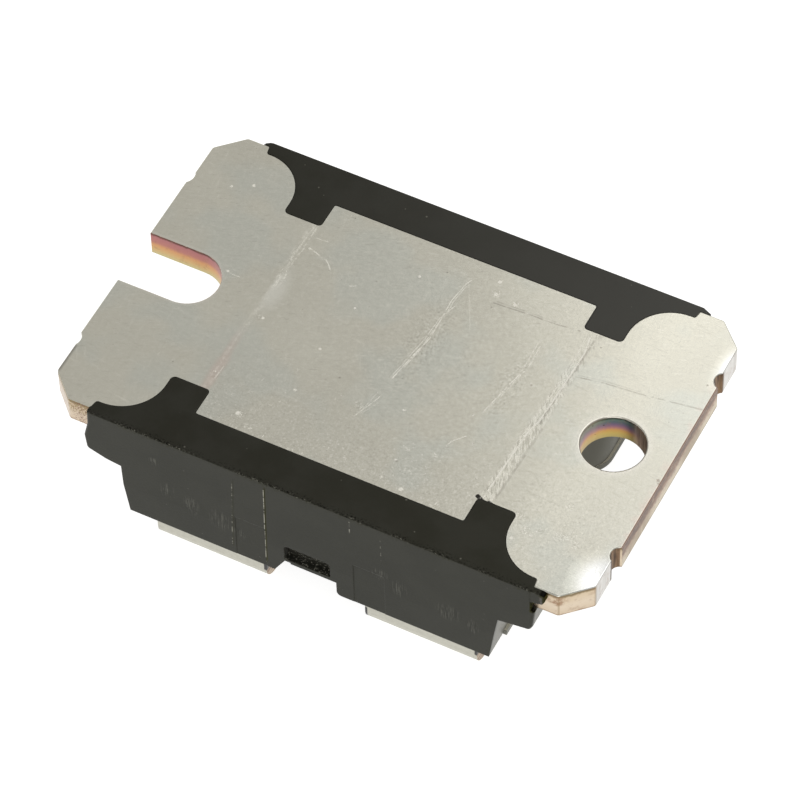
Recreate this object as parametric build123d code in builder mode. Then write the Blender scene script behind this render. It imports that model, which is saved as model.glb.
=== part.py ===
from build123d import *
import os
from math import sqrt, cos, sin, radians

os.makedirs("parts", exist_ok=True)

# ---------------------------------------------------------------------------
# Four-terminal screw-down dual diode module, lying on its terminals with the
# metal base plate up.  Millimetres.  Origin at the middle of the footprint,
# +X towards the round mounting hole, +Z out of the base plate.
# ---------------------------------------------------------------------------

# overall
H = 11.8            # terminal face to base plate face
PLATE_T = 2.0       # base plate thickness
SHOULDER_D = 8.90   # base plate face to the moulded shoulder
PITCH = 30.2        # mounting hole to mounting slot

# base plate outline
PLATE_L = 38.1      # over the middle edges of both ends
END_L = 37.78       # over the corner edges of both ends
PLATE_W = 24.0
CHAM_X = 1.735
CHAM_Y = 1.69
WAIST = 9.55        # half width between the mould locks
LOCK_X0 = 9.5
LOCK_X1 = 12.04
LOCK_Y = 7.55
LOBE_X, LOBE_Y, LOBE_R = 15.15, 8.33, 3.11
TIE_Y = 7.55
TIE_X, TIE_R = {1: 19.20, -1: 19.62}, {1: 0.62, -1: 0.83}   # hole end, slot end
HOLE_R = 2.1
SLOT_R = 2.15
EDGE_R = 0.10       # die roll on the plate's upper edges

# moulded body
BODY_W = 24.8
# the moulding sits a little towards the slot, so its two ends differ;
# the flange's ends as (x, z) from the plate's face round to the block
FLANGE_SLOT_END = (
    (-15.66, 11.8), (-15.70, 10.5), (-16.02, 9.15), (-15.90, 7.88),
    (-15.0, 7.57), (-14.2, 7.49), (-13.3, 7.36),
)
FLANGE_HOLE_END = (
    (13.1, 7.32), (14.1, 7.50), (15.45, 7.72), (15.57, 8.0),
    (15.72, 9.6), (15.50, 11.0), (15.50, 11.8),
)
# the block's two end walls, as heights and distances from the middle
BLOCK_Z = (7.9, 5.5, 2.9)
BLOCK_SLOT_END = (13.45, 13.38, 13.06)
BLOCK_HOLE_END = (13.29, 12.93, 12.57)
RECESS_R = 4.7      # clearance round each mounting screw's head
LEAD_R = 2.0        # rounding where that clearance leaves the end wall
NECK_R = 0.3        # between end wall and flange
CORNER_R = 0.18     # flange's upright corners
EDGE_TOP_R = 0.1    # flange's long upper edges
GROOVE_X = 1.85     # half width of the groove between the terminal pairs
GROOVE_D = 7.62
MOUTH_R = 0.35      # rounding of the groove's mouth
PAD_Y = 10.3        # half width of the raised middle of the shoulder
PAD_H = 0.15
PAD_SLOT_END, PAD_HOLE_END = 13.02, 12.80
WIN_X0, WIN_X1 = -1.82, 1.45    # blind window in the front wall
WIN_D0, WIN_D1 = 5.88, 7.28
WIN_DEPTH = 0.55
PANEL_X0, PANEL_X1 = 3.1, 5.3   # shallow upright panels on the long walls
PANEL_T = 0.05

# terminals
TERM_X = 7.5        # half the spacing of the terminal holes along X
TERM_DX = -0.08     # the terminals sit towards the slot, as the moulding does
TERM_Y = 6.35       # half the spacing across
TERM_W = 7.93
TERM_T = 0.8
TERM_OUT = 11.66    # outer face of the leg
TERM_IN = 1.95      # free end of the flat
TERM_BEND = 1.2     # outer radius of the bend
SHELF_D = 5.5       # height of the hidden step in the strap, below the plate face
FOOT_W = 4.4        # the narrow part inside the body
TERM_SLOT_W, TERM_SLOT_L = 4.2, 4.8

# captive nuts (M4)
NUT_AF = 7.0
NUT_H = 3.2
NUT_R = 1.65
POCKET_AF = 7.1
POCKET_D = 7.65
BOSS_X = 4.40
BOSS_Y0, BOSS_Y1 = 2.0, 10.4
BOSS_D = 10.95
SCREW_R = 2.3
SCREW_D = 6.9

# isolating substrate
SUB_X, SUB_Y = 9.1, 9.0      # half sizes of the ceramic
SOLDER_T = 0.15
BACK_T = 0.30
CERAMIC_T = 0.63
PAD_T = 0.30
FILM_T = 0.08                # solder under chips and feet
CHIP = 5.8
CHIP_T = 0.30
CHIP_X, CHIP_Y = 4.75, -1.3
WIRE_R = 0.15


def z(d):
    """height of a point d below the base plate's face"""
    return H - d


z_plate = z(PLATE_T)
z_solder = z_plate - SOLDER_T
z_back = z_solder - BACK_T
z_ceramic = z_back - CERAMIC_T
z_pad = z_ceramic - PAD_T
z_film = z_pad - FILM_T
z_chip = z_film - CHIP_T
z_shoulder = z(SHOULDER_D)


def save(part, label):
    part.label = label
    export_step(part, f"parts/{label}.step")


# --- base plate ------------------------------------------------------------
# stamped copper: waisted between four mould locks, round lobes, cut corners,
# and a small relief each side of the strip that joined it to the next plate
tie_in = {e: TIE_Y + sqrt(TIE_R[e] ** 2 - (TIE_X[e] - END_L / 2) ** 2) for e in (1, -1)}
tie_out = {e: TIE_Y - sqrt(TIE_R[e] ** 2 - (TIE_X[e] - PLATE_L / 2) ** 2) for e in (1, -1)}
c45 = cos(radians(45))
with BuildPart() as base_plate:
    with BuildSketch(Plane.XY.offset(z_plate)):
        with BuildLine():
            for sx in (1, -1):
                for sy in (1, -1):
                    FilletPolyline(
                        (0, sy * WAIST),
                        (sx * LOCK_X0, sy * WAIST),
                        (sx * LOCK_X0, sy * LOCK_Y),
                        (sx * LOCK_X1, sy * LOCK_Y),
                        (sx * LOCK_X1, sy * LOBE_Y),
                        radius=[0.22, 0.18, 0.25],
                    )
                    ThreePointArc(
                        (sx * LOCK_X1, sy * LOBE_Y),
                        (sx * (LOBE_X - LOBE_R * c45), sy * (LOBE_Y + LOBE_R * c45)),
                        (sx * LOBE_X, sy * (LOBE_Y + LOBE_R)),
                    )
                    FilletPolyline(
                        (sx * LOBE_X, sy * (LOBE_Y + LOBE_R)),
                        (sx * 15.37, sy * (LOBE_Y + LOBE_R)),
                        (sx * 15.47, sy * PLATE_W / 2),
                        (sx * (END_L / 2 - CHAM_X), sy * PLATE_W / 2),
                        (sx * END_L / 2, sy * (PLATE_W / 2 - CHAM_Y)),
                        (sx * END_L / 2, sy * tie_in[sx]),
                        radius=[0.12, 0.12, 0.35, 0.35],
                    )
                    ThreePointArc(
                        (sx * END_L / 2, sy * tie_in[sx]),
                        (sx * (TIE_X[sx] - TIE_R[sx]), sy * TIE_Y),
                        (sx * PLATE_L / 2, sy * tie_out[sx]),
                    )
                    Line((sx * PLATE_L / 2, sy * tie_out[sx]), (sx * PLATE_L / 2, 0))
        make_face()
    extrude(amount=PLATE_T)
    with BuildSketch(Plane.XY.offset(z_plate)):
        with Locations((PITCH / 2, 0)):
            Circle(HOLE_R)
        with Locations((-PITCH / 2, 0)):
            Circle(SLOT_R)
        with Locations((-PITCH / 2 - 3.0, 0)):
            Rectangle(6.0, 2 * SLOT_R)
    extrude(amount=PLATE_T, mode=Mode.SUBTRACT)
    # die roll: the punch drew the upper edges over a little
    fillet(base_plate.faces().sort_by(Axis.Z)[-1].edges(), EDGE_R)
save(base_plate.part, "base_plate")

# --- isolating substrate ---------------------------------------------------
with BuildPart() as substrate_solder:
    with BuildSketch(Plane.XY.offset(z_solder)):
        RectangleRounded(2 * SUB_X - 0.5, 2 * SUB_Y - 0.5, 0.5)
    extrude(amount=SOLDER_T)
save(substrate_solder.part, "substrate_solder")

with BuildPart() as substrate_back_copper:
    with BuildSketch(Plane.XY.offset(z_back)):
        RectangleRounded(2 * SUB_X - 0.8, 2 * SUB_Y - 0.8, 0.5)
    extrude(amount=BACK_T)
save(substrate_back_copper.part, "substrate_back_copper")

with BuildPart() as substrate_ceramic:
    with BuildSketch(Plane.XY.offset(z_ceramic)):
        Rectangle(2 * SUB_X, 2 * SUB_Y)
    extrude(amount=CERAMIC_T)
save(substrate_ceramic.part, "substrate_ceramic")

# etched copper pads: one for each terminal; the chips stand on the cathode pads
GAP = 0.5           # half the gap between the two diodes' pads
CATH_Y0, CATH_Y1 = -8.5, 2.3
ANOD_Y0, ANOD_Y1 = 3.1, 8.5
pads = []
for n, sx in ((1, -1), (2, 1)):
    for name, y0, y1 in (("cathode_pad", CATH_Y0, CATH_Y1), ("anode_pad", ANOD_Y0, ANOD_Y1)):
        with BuildPart() as pad:
            with BuildSketch(Plane.XY.offset(z_pad)):
                with Locations((sx * (GAP + SUB_X - 0.5) / 2, (y0 + y1) / 2)):
                    RectangleRounded(SUB_X - 0.5 - GAP, y1 - y0, 0.4)
            extrude(amount=PAD_T)
        save(pad.part, f"{name}_{n}")
        pads.append(pad.part)

# --- chips, their solder and their bond wires ------------------------------
WIRE_DX = 1.25
WIRE_XS = (-1.5, -0.5, 0.5, 1.5)
inner = []
for n, sx in ((1, -1), (2, 1)):
    with BuildPart() as die_solder:
        with BuildSketch(Plane.XY.offset(z_film)):
            with Locations((sx * CHIP_X, CHIP_Y)):
                Rectangle(CHIP + 0.2, CHIP + 0.2)
        extrude(amount=FILM_T)
    save(die_solder.part, f"die_solder_{n}")
    inner.append(die_solder.part)

    with BuildPart() as diode_chip:
        with BuildSketch(Plane.XY.offset(z_chip)):
            with Locations((sx * CHIP_X, CHIP_Y)):
                Rectangle(CHIP, CHIP)
        extrude(amount=CHIP_T)
    save(diode_chip.part, f"diode_chip_{n}")
    inner.append(diode_chip.part)

    # four wires from each chip to its anode pad, flattened onto both ends
    with BuildPart() as bond_wires:
        for k in WIRE_XS:
            x = sx * CHIP_X + k * WIRE_DX
            with BuildLine(Plane.YZ.offset(x)):
                FilletPolyline(
                    (-1.9, z_chip - WIRE_R),
                    (-0.6, z_chip - WIRE_R),
                    (0.7, z_chip - 1.05),
                    (2.2, z_chip - 1.05),
                    (3.9, z_pad - WIRE_R),
                    (4.9, z_pad - WIRE_R),
                    radius=[0.5, 0.55, 0.55, 0.5],
                )
            with BuildSketch(Plane((x, -1.9, z_chip - WIRE_R), x_dir=(1, 0, 0), z_dir=(0, 1, 0))):
                Circle(WIRE_R)
            sweep()
    save(bond_wires.part, f"bond_wires_{n}")
    inner.append(bond_wires.part)

# --- terminals -------------------------------------------------------------
# one folded strap each: foot on its pad, up past a step that locks it in the
# moulding, out through the shoulder and folded over the nut
z_shelf = z(SHELF_D)              # step's face nearer the plate
FOOT_IN, FOOT_OUT = 6.3, 8.9
z_foot = z_pad - FILM_T
T = TERM_T
quads = ((1, -1, -1), (2, 1, -1), (3, 1, 1), (4, -1, 1))
terminals = []
for n, sx, sy in quads:
    cx = sx * TERM_X + TERM_DX
    with BuildPart() as terminal:
        with BuildSketch(Plane.YZ.offset(cx - TERM_W / 2)):
            with BuildLine():
                FilletPolyline(
                    (sy * TERM_IN, 0),
                    (sy * TERM_OUT, 0),
                    (sy * TERM_OUT, z_shelf),
                    (sy * FOOT_OUT, z_shelf),
                    (sy * FOOT_OUT, z_foot),
                    (sy * FOOT_IN, z_foot),
                    (sy * FOOT_IN, z_foot - T),
                    (sy * (FOOT_OUT - T), z_foot - T),
                    (sy * (FOOT_OUT - T), z_shelf - T),
                    (sy * (TERM_OUT - T), z_shelf - T),
                    (sy * (TERM_OUT - T), T),
                    (sy * TERM_IN, T),
                    radius=[0, TERM_BEND, TERM_BEND, 0.4, TERM_BEND, 0,
                            0, 0.4, TERM_BEND, 0.4, 0.4, 0],
                    close=True,
                )
            make_face()
        extrude(amount=TERM_W)
        # inside the body the strap is only as wide as its foot
        with BuildSketch(Plane.XY.offset(4.6)):
            with Locations((cx - sx * TERM_W / 2 + sx * (FOOT_W + 3.0), sy * 9.0)):
                Rectangle(6.0, 8.0)
        extrude(amount=5.2, mode=Mode.SUBTRACT)
        # slotted screw hole over the nut, longer across the module
        with BuildSketch(Plane.XY.offset(-0.1)):
            with Locations((cx, sy * TERM_Y)):
                SlotOverall(TERM_SLOT_L, TERM_SLOT_W, rotation=90)
        extrude(amount=T + 0.2, mode=Mode.SUBTRACT)
        # the free end's corners are cut
        chamfer(
            terminal.edges().filter_by(Axis.Z).filter_by(
                lambda e: abs(abs(e.center().Y) - TERM_IN) < 0.01
            ),
            0.35,
        )
    save(terminal.part, f"terminal_{n}")
    terminals.append(terminal.part)

    with BuildPart() as terminal_solder:
        with BuildSketch(Plane.XY.offset(z_foot)):
            with Locations((cx - sx * (TERM_W - FOOT_W) / 2, sy * 7.1)):
                Rectangle(FOOT_W - 0.1, 1.2)
        extrude(amount=FILM_T)
    save(terminal_solder.part, f"terminal_solder_{n}")
    inner.append(terminal_solder.part)

# --- captive nuts ----------------------------------------------------------
NUT_Z0 = TERM_T
for n, sx, sy in quads:
    cx, cy = sx * TERM_X + TERM_DX, sy * TERM_Y
    with BuildPart() as nut:
        with BuildSketch(Plane.XY.offset(NUT_Z0)):
            with Locations((cx, cy)):
                RegularPolygon(NUT_AF / 2, 6, major_radius=False)
        extrude(amount=NUT_H)
        # both faces chamfered at 30 degrees to a washer face
        with BuildSketch(Plane((cx, cy, NUT_Z0), x_dir=(1, 0, 0), z_dir=(0, -1, 0))):
            with BuildLine():
                Polyline(
                    (0, 0), (NUT_AF / 2 - 0.1, 0), (NUT_AF / 2 + 0.75, 0.49),
                    (NUT_AF / 2 + 0.75, NUT_H - 0.49), (NUT_AF / 2 - 0.1, NUT_H),
                    (0, NUT_H), close=True,
                )
            make_face()
        revolve(axis=Axis((cx, cy, 0), (0, 0, 1)), mode=Mode.INTERSECT)
        with Locations((cx, cy, NUT_Z0 + NUT_H / 2)):
            Hole(NUT_R)
    save(nut.part, f"nut_{n}")

# --- moulded housing -------------------------------------------------------
def block_outline(slot_end, hole_end, hy):
    """Section of the block, hollowed round both mounting screws."""
    cx = PITCH / 2
    for sx, hx in ((-1, slot_end), (1, hole_end)):
        yc = sqrt((RECESS_R + LEAD_R) ** 2 - (cx - hx + LEAD_R) ** 2)
        fx, fy = hx - LEAD_R, yc
        k = RECESS_R / (RECESS_R + LEAD_R)
        tx, ty = cx - (cx - fx) * k, fy * k
        mid = Vector(hx - fx, 0).normalized() + Vector(tx - fx, ty - fy).normalized()
        mid = Vector(fx, fy) + mid.normalized() * LEAD_R
        Line((sx * hx, hy), (sx * hx, yc))
        ThreePointArc((sx * hx, yc), (sx * mid.X, mid.Y), (sx * tx, ty))
        ThreePointArc((sx * tx, ty), (sx * (cx - RECESS_R), 0), (sx * tx, -ty))
        ThreePointArc((sx * tx, -ty), (sx * mid.X, -mid.Y), (sx * hx, -yc))
        Line((sx * hx, -yc), (sx * hx, -hy))
    Line((hole_end, hy), (-slot_end, hy))
    Line((hole_end, -hy), (-slot_end, -hy))


with BuildPart() as housing:
    # flange: drafted ends, its underside rising towards both tips
    with BuildSketch(Plane.XZ.offset(BODY_W / 2)):
        with BuildLine():
            FilletPolyline(
                *FLANGE_SLOT_END, *FLANGE_HOLE_END,
                radius=[0, 0.5, 0.5, 0.3, 0, 0, 0, 0, 0, 0, 0, 0.3, 0.3, 0],
                close=True,
            )
        make_face()
    extrude(amount=-BODY_W)
    fillet(
        housing.edges().filter_by(
            lambda e: abs(e.center().X) > 15.35
            and abs(abs(e.center().Y) - BODY_W / 2) < 0.01
        ),
        CORNER_R,
    )
    fillet(
        housing.edges().filter_by(Axis.X).filter_by(
            lambda e: e.center().Z > H - 0.01
        ),
        EDGE_TOP_R,
    )
    # between the two long sides the plate lies on it
    with BuildSketch(Plane.XY.offset(z_plate)):
        Rectangle(33, 2 * LOCK_Y - 1)
    extrude(amount=PLATE_T + 1, mode=Mode.SUBTRACT)
    # room for each mounting screw's head
    with BuildSketch(Plane.XY.offset(7)):
        for sx in (1, -1):
            with Locations((sx * PITCH / 2, 0)):
                Circle(RECESS_R + 0.02)
            with Locations((sx * (PITCH / 2 + 2.0), 0)):
                Rectangle(4.0, 2 * RECESS_R + 0.04)
    extrude(amount=z_plate - 7, mode=Mode.SUBTRACT)
    # block, drafted down to the shoulder
    for zz, a, b in zip(BLOCK_Z, BLOCK_SLOT_END, BLOCK_HOLE_END):
        with BuildSketch(Plane.XY.offset(zz)):
            with BuildLine():
                block_outline(a, b, BODY_W / 2 - (0.03 if zz < 3 else 0))
            make_face()
    loft(ruled=True)
    # small fillet between the block's end walls and the flange
    for sx, wall in ((1, 13.20), (-1, 13.455)):
        for sy in (1, -1):
            with BuildSketch(Plane.XZ.offset(-sy * 5.5)):
                with BuildLine():
                    Polyline(
                        (sx * (wall + NECK_R), 7.46),
                        (sx * (wall - 0.2), 7.46),
                        (sx * (wall - 0.2), 7.08),
                        (sx * (wall - 0.01), 7.08),
                    )
                    ThreePointArc(
                        (sx * (wall - 0.01), 7.08),
                        (sx * (wall + 0.27 * NECK_R), 7.32),
                        (sx * (wall + NECK_R), 7.46),
                    )
                make_face()
            extrude(amount=-sy * 6.7)
    # a tongue of resin crept along the plate's side at one corner
    with BuildSketch(Plane.XZ.offset(BODY_W / 2 - 0.02)):
        with BuildLine():
            FilletPolyline(
                (15.2, 11.77), (16.36, 11.77), (16.44, 11.3), (16.24, 10.85), (15.75, 10.72), (15.2, 10.7),
                radius=[0, 0.2, 0.25, 0.2, 0.2, 0], close=True,
            )
        make_face()
    extrude(amount=-0.7)
    # and left a small void under it
    with BuildSketch(Plane.XZ.offset(BODY_W / 2 + 0.1)):
        with BuildLine():
            FilletPolyline(
                (15.46, 9.85), (15.66, 9.66), (16.1, 9.66), (16.1, 10.58), (15.72, 10.58), (15.50, 10.30),
                radius=[0.1, 0.1, 0.05, 0.05, 0.1, 0.1], close=True,
            )
        make_face()
    extrude(amount=-0.6, mode=Mode.SUBTRACT)
    # thinner slivers of flash along the other side of the plate
    with BuildSketch(Plane.XY.offset(10.9)):
        with BuildLine():
            Polyline(
                (15.3, 12.0), (15.3, 12.37), (15.56, 12.37), (16.19, 12.09), (16.19, 12.0), close=True,
            )
        make_face()
        with BuildLine():
            Polyline(
                (-15.3, 12.0), (-15.3, 12.37), (-15.64, 12.34), (-15.92, 12.15), (-15.98, 12.0), close=True,
            )
        make_face()
    extrude(amount=0.87)
    # middle of the shoulder stands a little proud, also at the hole end
    with BuildSketch(Plane.XY.offset(z_shoulder - PAD_H)):
        with BuildLine():
            block_outline(PAD_SLOT_END, PAD_HOLE_END, PAD_Y)
        make_face()
    extrude(amount=PAD_H + 0.35)
    # a boss under each terminal holds its nut
    with BuildSketch(Plane.XY.offset(z(BOSS_D))):
        with Locations(*[(sx * TERM_X + TERM_DX, sy * (BOSS_Y0 + BOSS_Y1) / 2) for n, sx, sy in quads]):
            RectangleRounded(2 * BOSS_X, BOSS_Y1 - BOSS_Y0, 0.5)
        with Locations((PITCH / 2, 0), (-PITCH / 2, 0)):
            Circle(RECESS_R + 0.05, mode=Mode.SUBTRACT)
    extrude(amount=z_shoulder - z(BOSS_D) + 0.02)
    # groove across the module between the terminal pairs, its mouth rounded
    with BuildSketch(Plane.XZ.offset(BODY_W / 2 + 1)):
        with BuildLine():
            for sx in (1, -1):
                Polyline(
                    (0, 0),
                    (sx * (GROOVE_X + MOUTH_R), 0),
                    (sx * (GROOVE_X + MOUTH_R), z_shoulder),
                )
                ThreePointArc(
                    (sx * (GROOVE_X + MOUTH_R), z_shoulder),
                    (sx * (GROOVE_X + MOUTH_R * (1 - c45)), z_shoulder + MOUTH_R * (1 - c45)),
                    (sx * GROOVE_X, z_shoulder + MOUTH_R),
                )
                Polyline(
                    (sx * GROOVE_X, z_shoulder + MOUTH_R),
                    (sx * GROOVE_X, z(GROOVE_D)),
                    (0, z(GROOVE_D)),
                )
        make_face()
    extrude(amount=-(BODY_W + 2), mode=Mode.SUBTRACT)
    # one corner of the groove's front mouth is cut away
    with BuildSketch(Plane.XZ.offset(BODY_W / 2 + 0.5)):
        with BuildLine():
            Polyline((-1.4, z(7.50)), (-1.80, z(7.50)), (-2.80, z(9.3)), (-1.4, z(9.3)), close=True)
        make_face()
    extrude(amount=-3.2, mode=Mode.SUBTRACT)
    # blind window in the front wall, above the groove
    with BuildSketch(Plane.XZ.offset(BODY_W / 2 + 0.5)):
        with BuildLine():
            FilletPolyline(
                (WIN_X0, z(WIN_D1)), (WIN_X1, z(WIN_D1)), (WIN_X1, z(WIN_D0)), (WIN_X0, z(WIN_D0)),
                radius=[0.08, 0.08, 0.3, 0.3], close=True,
            )
        make_face()
    extrude(amount=-0.5 - WIN_DEPTH, mode=Mode.SUBTRACT)
    # shallow upright panels either side of the middle, front and back
    for sx in (1, -1):
        for sy in (1, -1):
            with BuildSketch(Plane.XY.offset(z_shoulder - 0.1)):
                with Locations((sx * (PANEL_X0 + PANEL_X1) / 2, sy * (BODY_W / 2 + 0.5 - PANEL_T))):
                    Rectangle(PANEL_X1 - PANEL_X0, 1.0)
            extrude(amount=z(4.9) - z_shoulder + 0.1, mode=Mode.SUBTRACT)
    # hexagonal pocket for each nut and room for its screw's end
    with BuildSketch(Plane.XY.offset(z(BOSS_D) - 0.2)):
        with Locations(*[(sx * TERM_X + TERM_DX, sy * TERM_Y) for n, sx, sy in quads]):
            RegularPolygon(POCKET_AF / 2, 6, major_radius=False)
    extrude(amount=0.2 + BOSS_D - POCKET_D, mode=Mode.SUBTRACT)
    with BuildSketch(Plane.XY.offset(z(POCKET_D) - 0.1)):
        with Locations(*[(sx * TERM_X + TERM_DX, sy * TERM_Y) for n, sx, sy in quads]):
            Circle(SCREW_R)
    extrude(amount=0.1 + POCKET_D - SCREW_D, mode=Mode.SUBTRACT)
    # the resin fills every space round the plate, the substrate and the straps
    add(base_plate.part, mode=Mode.SUBTRACT)
    add(substrate_solder.part, mode=Mode.SUBTRACT)
    add(substrate_back_copper.part, mode=Mode.SUBTRACT)
    add(substrate_ceramic.part, mode=Mode.SUBTRACT)
    for p in pads + inner + terminals:
        add(p, mode=Mode.SUBTRACT)
save(housing.part, "housing")
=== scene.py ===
import bpy, bmesh, math
import numpy as np
from mathutils import Matrix, Vector


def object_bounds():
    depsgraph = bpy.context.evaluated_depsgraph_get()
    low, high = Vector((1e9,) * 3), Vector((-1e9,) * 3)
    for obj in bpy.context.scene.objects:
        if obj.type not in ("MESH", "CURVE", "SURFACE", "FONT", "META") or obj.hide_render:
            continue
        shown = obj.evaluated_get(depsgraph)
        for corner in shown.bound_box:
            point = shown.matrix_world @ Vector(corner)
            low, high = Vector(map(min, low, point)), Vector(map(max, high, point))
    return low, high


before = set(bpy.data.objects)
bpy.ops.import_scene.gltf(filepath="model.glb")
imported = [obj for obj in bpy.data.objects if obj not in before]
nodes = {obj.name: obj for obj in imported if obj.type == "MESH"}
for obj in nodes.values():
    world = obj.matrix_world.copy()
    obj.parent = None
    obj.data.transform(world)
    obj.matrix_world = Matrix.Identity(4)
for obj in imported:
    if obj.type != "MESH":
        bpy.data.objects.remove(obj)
CAD_BOX = [list(map(float, v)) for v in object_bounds()]
S = bpy.context.scene
MM = 0.001
LO, HI = Vector(CAD_BOX[0]), Vector(CAD_BOX[1])
TOP = HI.z                      # the mounting face
TOPMM = TOP * 1000


# ---------------------------------------------------------------- camera
def camera_axes(az, el, roll):
    a, e, r = (math.radians(v) for v in (az, el, roll))
    fwd = Vector((math.sin(a) * math.cos(e), math.cos(a) * math.cos(e), -math.sin(e)))
    right = fwd.cross(Vector((0, 0, 1))).normalized()
    up = right.cross(fwd)
    return right * math.cos(r) + up * math.sin(r), -right * math.sin(r) + up * math.cos(r), fwd


CAM_F, CAM_AZ, CAM_EL, CAM_ROLL = 4953.4472, -28.3844, 52.432, -1.5673
CAM_T = Vector((-0.1448, 2.5793, 313.0369)) * MM
ax, ay, az_ = camera_axes(CAM_AZ, CAM_EL, CAM_ROLL)
cam_pos = Vector((0, 0, TOP)) - (ax * CAM_T.x + ay * CAM_T.y + az_ * CAM_T.z)
cam_data = bpy.data.cameras.new("camera")
cam = bpy.data.objects.new("camera", cam_data)
S.collection.objects.link(cam)
cam_data.sensor_width = 36.0
cam_data.lens = CAM_F * 36.0 / 800.0
cam_data.clip_start, cam_data.clip_end = 0.01, 20
M = Matrix((ax, ay, -az_)).transposed().to_4x4()
M.translation = cam_pos
cam.matrix_world = M
S.camera = cam


# ---------------------------------------------------------------- lights
def area(name, pos, target, size, power, colour=(1, 1, 1), size_y=None, spread=180, roll=0.0):
    d = bpy.data.lights.new(name, "AREA")
    d.shape = "RECTANGLE"
    d.size = size
    d.size_y = size_y or size
    d.energy = power
    d.color = colour
    d.spread = math.radians(spread)
    o = bpy.data.objects.new(name, d)
    S.collection.objects.link(o)
    o.location = pos
    q = (Vector(target) - Vector(pos)).to_track_quat("-Z", "Y")
    o.rotation_euler = q.to_euler()
    return o


S.view_settings.view_transform = "Standard"
S.view_settings.look = "None"
S.view_settings.exposure = 0.0
S.view_settings.gamma = 1.0
world = bpy.data.worlds.new("studio")
S.world = world
world.use_nodes = True
bg = world.node_tree.nodes["Background"]
bg.inputs["Color"].default_value = (1.0, 0.985, 0.955, 1)
bg.inputs["Strength"].default_value = 0.53


def panel(name, centre, size_x, size_y, radiance, colour=(1, 1, 1), target=(0, 0, 0)):
    """A soft panel facing the target, given by its surface brightness."""
    area(name, centre, target, size_x, radiance * math.pi * size_x * size_y, colour, size_y)


def ceiling(name, edge, turn, size_x, size_y, height, radiance, colour=(1, 1, 1)):
    """A level panel facing down: edge is the middle of its near edge in plan,
    turn the direction it stretches away from there."""
    a = math.radians(turn)
    c = Vector((edge[0] + math.cos(a) * size_x / 2, edge[1] + math.sin(a) * size_x / 2, height))
    o = area(name, c, c - Vector((0, 0, 1)), size_x, radiance * math.pi * size_x * size_y, colour, size_y)
    o.rotation_euler = (0, 0, a)


# beyond the module, seen mirrored in the right half of the plate
ceiling("back", (-0.075, 0.202), 20.0, 0.34, 0.36, 0.30, 1.055, (1.0, 0.995, 0.985))
# over the camera's shoulder: lights the table, not seen in the plate
panel("front", (0.25, -0.55, 0.50), 0.50, 0.50, 1.6)

# ---------------------------------------------------------------- floor
me = bpy.data.meshes.new("floor")
s = 3.0
me.from_pydata([(-s, -s, 0), (s, -s, 0), (s, s, 0), (-s, s, 0)], [], [(0, 1, 2, 3)])
floor = bpy.data.objects.new("floor", me)
S.collection.objects.link(floor)
floor.location.z = -0.00002
fm = bpy.data.materials.new("floor")
fm.use_nodes = True
fm.node_tree.nodes["Principled BSDF"].inputs["Base Color"].default_value = (0.55, 0.55, 0.545, 1)
fm.node_tree.nodes["Principled BSDF"].inputs["Emission Color"].default_value = (1.0, 1.0, 1.0, 1)
fm.node_tree.nodes["Principled BSDF"].inputs["Emission Strength"].default_value = 0.84
fm.node_tree.nodes["Principled BSDF"].inputs["Roughness"].default_value = 0.9
fm.node_tree.nodes["Principled BSDF"].inputs["Specular IOR Level"].default_value = 0.0
me.materials.append(fm)


# ---------------------------------------------------------------- node maths
def srgb(r, g, b):
    """Display values 0..255 to scene-linear."""
    f = lambda v: (v / 255 / 12.92) if v <= 10 else ((v / 255 + 0.055) / 1.055) ** 2.4
    return (f(r), f(g), f(b), 1.0)


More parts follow.
